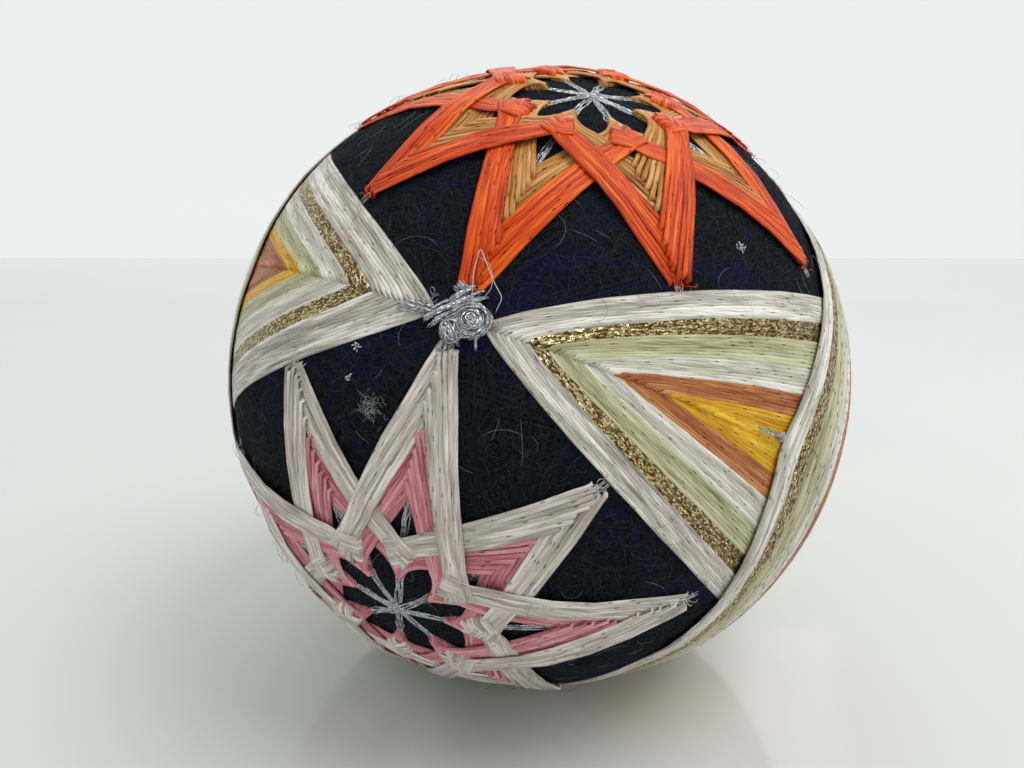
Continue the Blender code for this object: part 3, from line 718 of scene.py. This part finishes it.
# The four silver knots.
# Silver foil yarn is bound round each place where two spindles begin: a coil wound in a dome, a
# wad of small loops beside it, and bundles that run out over the guide lines and the star's tip.
KNOT_TABLE = (
    ("front", (1, 0, 1)),
    ("top", (-1, 0, 1)),
    ("under", (1, 0, -1)),
    ("back", (-1, 0, -1)),
)
COIL_PLACE = (1.3, -84)  # reach and azimuth from the knot, degrees
COIL_RADII = (0.16 * MM, 1.5 * MM)
COIL_LOOPS = 30
COIL_HEIGHT = 0.95 * MM
WAD_PLACE = (2.2, 150)
WAD_SIZE = (1.15 * MM, 1.0 * MM, 0.7 * MM)  # along, across and out of the ball
WAD_LOOPS = 34
LOOP_STATIONS = 26
BUNDLE_STATIONS = 16
KNOT_YARN = 0.26 * MM
# columns: reach and azimuth of one end and of the other, strands, spread and height
BUNDLES = (
    (5.2, 111, 4.0, -19, 14, 0.40 * MM, 1.00 * MM),
    (5.0, 30, 3.4, 10, 8, 0.40 * MM, 0.85 * MM),
    (3.0, 60, 4.4, 0, 5, 0.25 * MM, 0.90 * MM),
    (3.6, 96, 9.6, 94, 5, 0.17 * MM, 0.85 * MM),
    (2.4, 150, 5.8, 158, 3, 0.10 * MM, 0.55 * MM),
    (2.4, 165, 5.8, 168, 3, 0.10 * MM, 0.50 * MM),
    (3.2, 140, 2.8, -112, 9, 0.36 * MM, 0.90 * MM),
    (3.0, -125, 4.7, -138, 2, 0.10 * MM, 0.50 * MM),
)


def frame_at(place):
    """Two directions along the ball, towards the orange star and beside it, and one outwards."""
    pole = np.array((0, 0, np.sign(place[2])))
    first = unit(pole - (pole @ place) * place)
    return np.stack([first, np.cross(place, first), place])


def beside_knot(place, reach, azimuth):
    """A direction at a reach and azimuth, in degrees, from the knot's own direction."""
    return polar(place, np.array((0, 0, np.sign(place[2]))), np.array(reach), np.array(azimuth))


def coil_paths(place, seed):
    """Loops of growing radius, each on a dome one coil high, a little tilted and off centre."""
    rng = np.random.default_rng(seed)
    radius = np.linspace(*COIL_RADII, COIL_LOOPS) * rng.uniform(0.88, 1.08, COIL_LOOPS)
    radius = radius.clip(*COIL_RADII)[:, None, None]
    turn = np.linspace(0, 2 * math.pi + 0.25, LOOP_STATIONS)[None, :, None]
    turn = turn + rng.uniform(0, 2 * math.pi, (COIL_LOOPS, 1, 1))
    wobble = 1 + 0.05 * np.sin(3 * turn + rng.uniform(0, 6, (COIL_LOOPS, 1, 1)))
    across, along_ = radius * wobble * np.cos(turn), 1.1 * radius * wobble * np.sin(turn)
    dome = COIL_HEIGHT * np.sqrt(1 - 0.92 * (radius / COIL_RADII[1]) ** 2)
    lean = rng.normal(size=(2, COIL_LOOPS, 1, 1)) * 0.2
    outwards = dome + lean[0] * across + lean[1] * along_
    loops = np.concatenate([across, along_, outwards + 0 * across], -1)
    loops = loops + rng.normal(size=(COIL_LOOPS, 1, 3)) * 0.09 * MM
    return (loops @ frame_at(place) + place * (BALL_RADIUS + PILE)) @ TURN.T + CENTRE


def wad_paths(place, size, count, seed):
    """Loops round a flattened ball: each is a tilted ellipse with its own size and small shift."""
    rng = np.random.default_rng(seed)
    one = unit(rng.normal(size=(count, 3)) * (1, 1, 0.8))
    other = unit(np.cross(one, unit(rng.normal(size=(count, 3)))))
    turn = np.linspace(0, 2 * math.pi + 0.3, LOOP_STATIONS)[None, :, None]
    loops = np.cos(turn) * one[:, None] + np.sin(turn) * other[:, None]
    loops = loops * rng.uniform(0.6, 1.04, (count, 1, 1)) * size
    loops = loops + rng.normal(size=(count, 1, 3)) * 0.07 * size[0]
    loops[..., 2] = loops[..., 2] + size[2] * 0.55
    return (loops @ frame_at(place) + place * (BALL_RADIUS + PILE)) @ TURN.T + CENTRE


def bundle_paths(start, end, strands, spread, height, seed):
    """Strands heaped in a low mound from one direction to another, each slightly crooked."""
    rng = np.random.default_rng(seed)
    span = np.linspace(0, 1, BUNDLE_STATIONS)[None]
    early, late = rng.normal(size=(2, strands, 1)) * 0.05
    share = early + (1 + late - early) * span
    line = along(np.broadcast_to(start, (strands, 3)), np.broadcast_to(end, (strands, 3)), share)
    side = unit(np.cross(start, end))
    apart = rng.normal(size=(strands, 1)) * spread
    apart = apart + rng.normal(size=share.shape) * 0.035 * MM
    mound = height * (0.45 + 0.55 * np.exp(-((apart / spread) ** 2) / 2))
    rise = np.sqrt((1 - (2 * span - 1) ** 4).clip(0))
    return lift(unit(line + apart[..., None] / BALL_RADIUS * side), PILE + mound * rise)


for number, (name, place) in enumerate(KNOT_TABLE):
    place = unit(place)
    coil = coil_paths(beside_knot(place, *COIL_PLACE), 41 + number)
    wad = wad_paths(beside_knot(place, *WAD_PLACE), np.array(WAD_SIZE), WAD_LOOPS, 45 + number)
    mesh = threads("loops_" + name, np.concatenate([coil, wad]), KNOT_YARN, 0.2 * MM, 4)
    piece("knot_loops_" + name, mesh, silver, "silver_thread", "knot_" + name)
    bundles = []
    for order, (reach, azimuth, far_reach, far_azimuth, *rest) in enumerate(BUNDLES):
        start, end = beside_knot(place, reach, azimuth), beside_knot(place, far_reach, far_azimuth)
        bundles.append(bundle_paths(start, end, *rest, 51 + 10 * number + order))
    mesh = threads("bundle_" + name, np.concatenate(bundles), KNOT_YARN, 0.2 * MM, 4)
    piece("knot_ends_" + name, mesh, silver, "silver_thread", "knot_" + name)


# Loose hairs and lint.
# Felted yarn sheds: short dark hairs lie over all that is bare, a few stand off it, and pale
# lint, frayed ends and two long filaments cling round the front knot.
HAIRS, STANDING_HAIRS = 3200, 420
HAIR_STATIONS = 7
HAIR_WIDTH = 0.036 * MM
VALLEY_REACH, TIP_REACH, HOLE_REACH = 20.0, 41.5, 9.0
# columns: direction, hairs, patch, length, rise and width of a tuft of lint
TUFTS = (
    ((0.859, -0.158, 0.486), 110, 0.62 * MM, 1.0 * MM, 0.45 * MM, 0.015 * MM),
    ((0.778, -0.241, 0.580), 12, 0.13 * MM, 0.5 * MM, 0.25 * MM, 0.11 * MM),
    ((0.823, -0.238, 0.517), 10, 0.10 * MM, 0.4 * MM, 0.15 * MM, 0.11 * MM),
    ((0.220, 0.524, 0.823), 16, 0.22 * MM, 0.6 * MM, 0.25 * MM, 0.09 * MM),
    ((0.690, -0.103, 0.716), 20, 0.45 * MM, 1.0 * MM, 0.6 * MM, 0.045 * MM),
)
# places that each loose filament passes, as directions
FILAMENTS = (
    (
        (0.674, 0.005, 0.739), (0.628, -0.012, 0.778), (0.582, -0.019, 0.813),
        (0.608, 0.010, 0.794), (0.634, 0.040, 0.772), (0.655, 0.072, 0.753), (0.680, 0.066, 0.730),
    ),
    (
        (0.596, -0.021, 0.803), (0.606, 0.016, 0.795), (0.630, 0.037, 0.776),
        (0.648, 0.042, 0.761), (0.662, 0.036, 0.749), (0.672, 0.027, 0.740), (0.682, 0.018, 0.731),
    ),
)
FILAMENT_STATIONS, FILAMENT_RISE = 30, 0.9 * MM
FRINGE, FRINGE_PATCH = 20, 0.5 * MM  # short ends at each tip of a star
FRINGE_LENGTHS, FRINGE_RISES = (0.4 * MM, 0.9 * MM), (0.25 * MM, 0.7 * MM)
# the tack of the right upper spindle: its place, and where its silver end lies
TACK, TACK_END = (0.450, 0.760, 0.470), (0.495, 0.706, 0.507)


def bare(directions):
    """True where neither a star nor a spindle covers the ball."""
    open_ = np.ones(len(directions), bool)
    for name, middle, reference, stray, top_set in STAR_TABLE:
        middle, tips = star_points(name, middle, reference, stray)
        reach = reach_of(directions, middle)
        outward = unit(directions - (directions @ middle)[:, None] * middle)
        tip_ways = unit(tips - (tips @ middle)[:, None] * middle)
        nearest = np.arccos(np.clip(outward @ tip_ways.T, -1, 1)).min(1)
        edge = TIP_REACH - (TIP_REACH - VALLEY_REACH) * nearest / (math.pi / POINTS)
        open_ &= (reach > edge) | (reach < HOLE_REACH)
    for name, tip, middle, across, upper, bands in SPINDLE_TABLE:
        start, middle, across = unit(tip), unit(middle), unit(across)
        lengthwise = np.degrees(np.arctan2(directions @ middle, directions @ start))
        crosswise = np.degrees(np.arcsin(directions @ across))
        share = np.clip((lengthwise - bands[0][1]) / (180 - 2 * bands[0][1]), 0, 1)
        half = crosswise_of(share, bands[0][1], bands[0][2], upper)
        open_ &= ~((np.abs(crosswise) < half) & (lengthwise > 0))
    return open_


def hair_paths(starts, lengths, curl, rises, seed):
    """Hairs from their starts as curves of changing bend on the ball, lifted in their middles."""
    rng = np.random.default_rng(seed)
    count = len(starts)
    first = unit(np.cross(starts, unit(rng.normal(size=(count, 3)))))
    second = np.cross(starts, first)
    step = np.linspace(0, 1, HAIR_STATIONS)[None]
    pace = rng.uniform(*lengths, (count, 1)) / (HAIR_STATIONS - 1)
    bend, curve = rng.normal(size=(2, count, 1)) * curl
    bend = bend * step + curve * step**2
    forward, sideways = np.cumsum(np.cos(bend) * pace, 1), np.cumsum(np.sin(bend) * pace, 1)
    flat = starts[:, None] * BALL_RADIUS + forward[..., None] * first[:, None]
    flat = flat + sideways[..., None] * second[:, None]
    top = rng.uniform(*rises, (count, 1)) * np.sin(math.pi * step * rng.uniform(0.6, 1, (count, 1)))
    return lift(unit(flat), PILE + 0.02 * MM + top)


def spread_about(place, count, patch, seed):
    """Directions scattered about a place, most of them within a patch of that many metres."""
    rng = np.random.default_rng(seed)
    return unit(unit(place) + rng.normal(size=(count, 3)) * patch / BALL_RADIUS)


def wool_hair(tree):
    """Single wool hairs: most are black or slate, some navy, a few undyed grey."""
    strand = add(tree, "Attribute", out="Fac", attribute_name="strand")
    dark = add(tree, "MapRange", {"Value": strand, "From Min": 0.0, "From Max": 0.7})
    colour = add(tree, "MixRGB", {0: dark, 1: linear("0D1013"), 2: linear("272E34")})
    blue = add(tree, "MapRange", {"Value": strand, "From Min": 0.86, "From Max": 0.87})
    colour = add(tree, "MixRGB", {0: blue, 1: colour, 2: linear("1F1F42")})
    grey = add(tree, "MapRange", {"Value": strand, "From Min": 0.95, "From Max": 0.955})
    colour = add(tree, "MixRGB", {0: grey, 1: colour, 2: linear("7C8387")})
    return add(tree, "BsdfPrincipled", {"Base Color": colour, "Roughness": 0.7})


def undyed_lint(tree):
    """Undyed fibre, from clean white to a little pink and grey with handling."""
    strand = add(tree, "Attribute", out="Fac", attribute_name="strand")
    colour = add(tree, "MixRGB", {0: strand, 1: linear("A9A5A4"), 2: linear("E4E4E2")})
    return add(tree, "BsdfPrincipled", {"Base Color": colour, "Roughness": 0.6})


hair = finish_of("wool_hair", wool_hair)
lint = finish_of("undyed_lint", undyed_lint)
anywhere = unit(np.random.default_rng(60).normal(size=(4 * HAIRS, 3)))
starts = anywhere[bare(anywhere)][:HAIRS]
paths = hair_paths(starts, (1.6 * MM, 5.2 * MM), 1.3, (0.02 * MM, 0.2 * MM), 61)
mesh = threads("hairs", paths, HAIR_WIDTH, HAIR_WIDTH, 4, seed=62)
piece("wool_hairs", mesh, hair, "midnight_wool", "wound_ball")
starts = anywhere[bare(anywhere)][-STANDING_HAIRS:]
paths = hair_paths(starts, (1.5 * MM, 5.0 * MM), 2.2, (0.3 * MM, 1.3 * MM), 63)
mesh = threads("standing_hairs", paths, 0.8 * HAIR_WIDTH, 0.8 * HAIR_WIDTH, 4, seed=64)
piece("standing_hairs", mesh, hair, "midnight_wool", "wound_ball")

for order, (place, count, patch, length, rise, width) in enumerate(TUFTS):
    starts = spread_about(place, count, patch, 71 + order)
    paths = hair_paths(starts, (0.4 * length, length), 2.0, (0.2 * rise, rise), 76 + order)
    mesh = threads(f"lint_{order}", paths, width, width, 4, seed=81 + order)
    piece(f"lint_{order}", mesh, lint, "midnight_wool", "wound_ball")
paths = []
for places in FILAMENTS:
    spot = np.linspace(0, len(places) - 1, FILAMENT_STATIONS)
    smooth = np.stack([np.interp(spot, range(len(places)), row) for row in np.array(places).T], -1)
    smooth[1:-1] = (smooth[:-2] + 2 * smooth[1:-1] + smooth[2:]) / 4
    rise = FILAMENT_RISE * np.sin(math.pi * np.linspace(0, 1, FILAMENT_STATIONS)) ** 0.5
    paths.append(lift(unit(smooth), PILE + 0.4 * MM + rise))
mesh = threads("filaments", np.stack(paths), 0.075 * MM, 0.06 * MM, 4, seed=86)
piece("loose_filaments", mesh, lint, "silver_thread", "knot_front")

# the frayed ends at the tips of the stars, and the tack that pulls the upper spindle outwards
for number, (name, middle, reference, stray, top_set) in enumerate(STAR_TABLE):
    middle, tips = star_points(name, middle, reference, stray)
    past = along(np.broadcast_to(middle, tips.shape), tips, [1.0])[:, 0]
    starts = [spread_about(tip, FRINGE, FRINGE_PATCH, 91 + number) for tip in past]
    starts = np.concatenate(starts)
    paths = hair_paths(starts, FRINGE_LENGTHS, 2.2, FRINGE_RISES, 95 + number)
    mesh = threads("fringe_" + name, paths, 0.1 * MM, 0.08 * MM, 4, seed=99)
    outer, inner, outer_slot, inner_slot = STAR_FLOSS[name.split("_")[0]]
    piece(f"star_fringe_{name}", mesh, outer, outer_slot, f"star_{name}_outer")
tack = wad_paths(unit(TACK), np.array((0.5, 0.4, 0.4)) * MM, 14, 101)
mesh = threads("tack", tack + 0.4 * MM * unit(TACK) @ TURN.T, 0.17 * MM, 0.14 * MM, 4)
piece("spindle_tack", mesh, white, "white_silk", "spindle_right_upper_white")
paths = bundle_paths(unit(TACK), unit(TACK_END), 3, 0.1 * MM, 0.95 * MM, 102)
mesh = threads("tack_end", paths, 0.16 * MM, 0.12 * MM, 4)
piece("spindle_tack_end", mesh, silver, "silver_thread", "guide_pink_front")


# The floor, the backdrop and the light.
# A pale, glossy table under large soft lamps, and behind its far edge an evenly lit pale screen.
FLOOR_BACK, FLOOR_FRONT, FLOOR_SIDE = 0.505, -0.9, 1.6
SCREEN_PLACE, SCREEN_LOW, SCREEN_HIGH = 1.3, -0.8, 1.6
SCREEN_GLOW = 0.58


def stage_plane(name, corners, material):
    """A flat stage piece from its four corners."""
    mesh = bpy.data.meshes.new(name)
    mesh.from_pydata(corners, [], [(0, 1, 2, 3)])
    mesh.materials.append(material)
    made = bpy.data.objects.new(name, mesh)
    bpy.context.scene.collection.objects.link(made)
    made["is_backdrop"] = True


def pale_laminate(tree):
    """A pale glossy table: its colour hardly varies, and painted light makes it lighter towards its
    far edge.
    """
    place = add(tree, "TexCoord", out="Object")
    cloud = add(tree, "TexNoise", {"Vector": place, "Scale": 14, "Detail": 3})
    colour = add(tree, "MixRGB", {0: cloud, 1: linear("D3D5D3"), 2: linear("D9DBD9")})
    back = add(tree, "SeparateXYZ", {0: place}, out=1)
    # painted light: the table is painted lighter towards its far edge, for a soft horizon
    edge = add(tree, "MapRange", {"Value": back, "From Min": 0.3, "From Max": 0.5})
    colour = add(tree, "MixRGB", {0: edge, 1: colour, 2: linear("E2E4E3")})
    shader = {"Base Color": colour, "Roughness": 0.11, "Specular IOR Level": 0.5}
    return add(tree, "BsdfPrincipled", shader)


def lit_screen(tree):
    """A matt pale screen, lit from behind so that it is even all over."""
    shader = {"Base Color": linear("B0B2B1"), "Roughness": 0.9}
    shader.update({"Emission Color": linear("F4F6F5"), "Emission Strength": SCREEN_GLOW})
    return add(tree, "BsdfPrincipled", shader)


left, right, near, far = -FLOOR_SIDE, FLOOR_SIDE, FLOOR_FRONT, FLOOR_BACK
corners = [(left, near, 0), (right, near, 0), (right, far, 0), (left, far, 0)]
stage_plane("floor", corners, finish_of("pale_laminate", pale_laminate))
low, high, back = SCREEN_LOW, SCREEN_HIGH, SCREEN_PLACE
corners = [(2 * left, back, low), (2 * right, back, low)]
corners += [(2 * right, back, high), (2 * left, back, high)]
stage_plane("screen", corners, finish_of("lit_screen", lit_screen))


def lamp(name, place, aim, size, power):
    """A square soft lamp at a place, turned to face a point."""
    data = bpy.data.lights.new(name, "AREA")
    data.size = size
    data.energy = power
    made = bpy.data.objects.new(name, data)
    bpy.context.scene.collection.objects.link(made)
    made.location = place
    away = np.array(place) - aim
    made.rotation_euler = (
        math.acos(away[2] / np.linalg.norm(away)),
        0,
        math.atan2(away[1], away[0]) + math.pi / 2,
    )


lamp("overhead", (0.26, -0.12, 0.52), (0, 0, 0.04), 0.30, 1.45)
lamp("behind", (0.05, 0.38, 0.45), (0, 0, 0.04), 0.40, 0.45)
world = bpy.data.worlds.new("studio")
bpy.context.scene.world = world
world.use_nodes = True
world.node_tree.nodes["Background"].inputs["Color"].default_value = linear("F2F4F4")
world.node_tree.nodes["Background"].inputs["Strength"].default_value = 0.8

# the camera stands close, pitched down by 15 degrees, as the photograph was taken
PITCH = math.radians(15)
BALL_FROM_CAMERA = np.array([3.27, -0.62, 109.5]) * MM  # right, down and forward of it
right_way = np.array([1, 0, 0])
down_way = np.array([0, -math.sin(PITCH), -math.cos(PITCH)])
forward_way = np.array([0, math.cos(PITCH), -math.sin(PITCH)])
camera_data = bpy.data.cameras.new("camera")
camera_data.sensor_width = 36
camera_data.lens = 28.28
camera_data.clip_start = 0.005
camera = bpy.data.objects.new("camera", camera_data)
bpy.context.scene.collection.objects.link(camera)
camera.location = CENTRE - BALL_FROM_CAMERA @ np.stack([right_way, down_way, forward_way])
camera.rotation_euler = (math.pi / 2 - PITCH, 0, 0)
bpy.context.scene.camera = camera

bpy.context.scene.view_settings.view_transform = "Standard"

low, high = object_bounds()
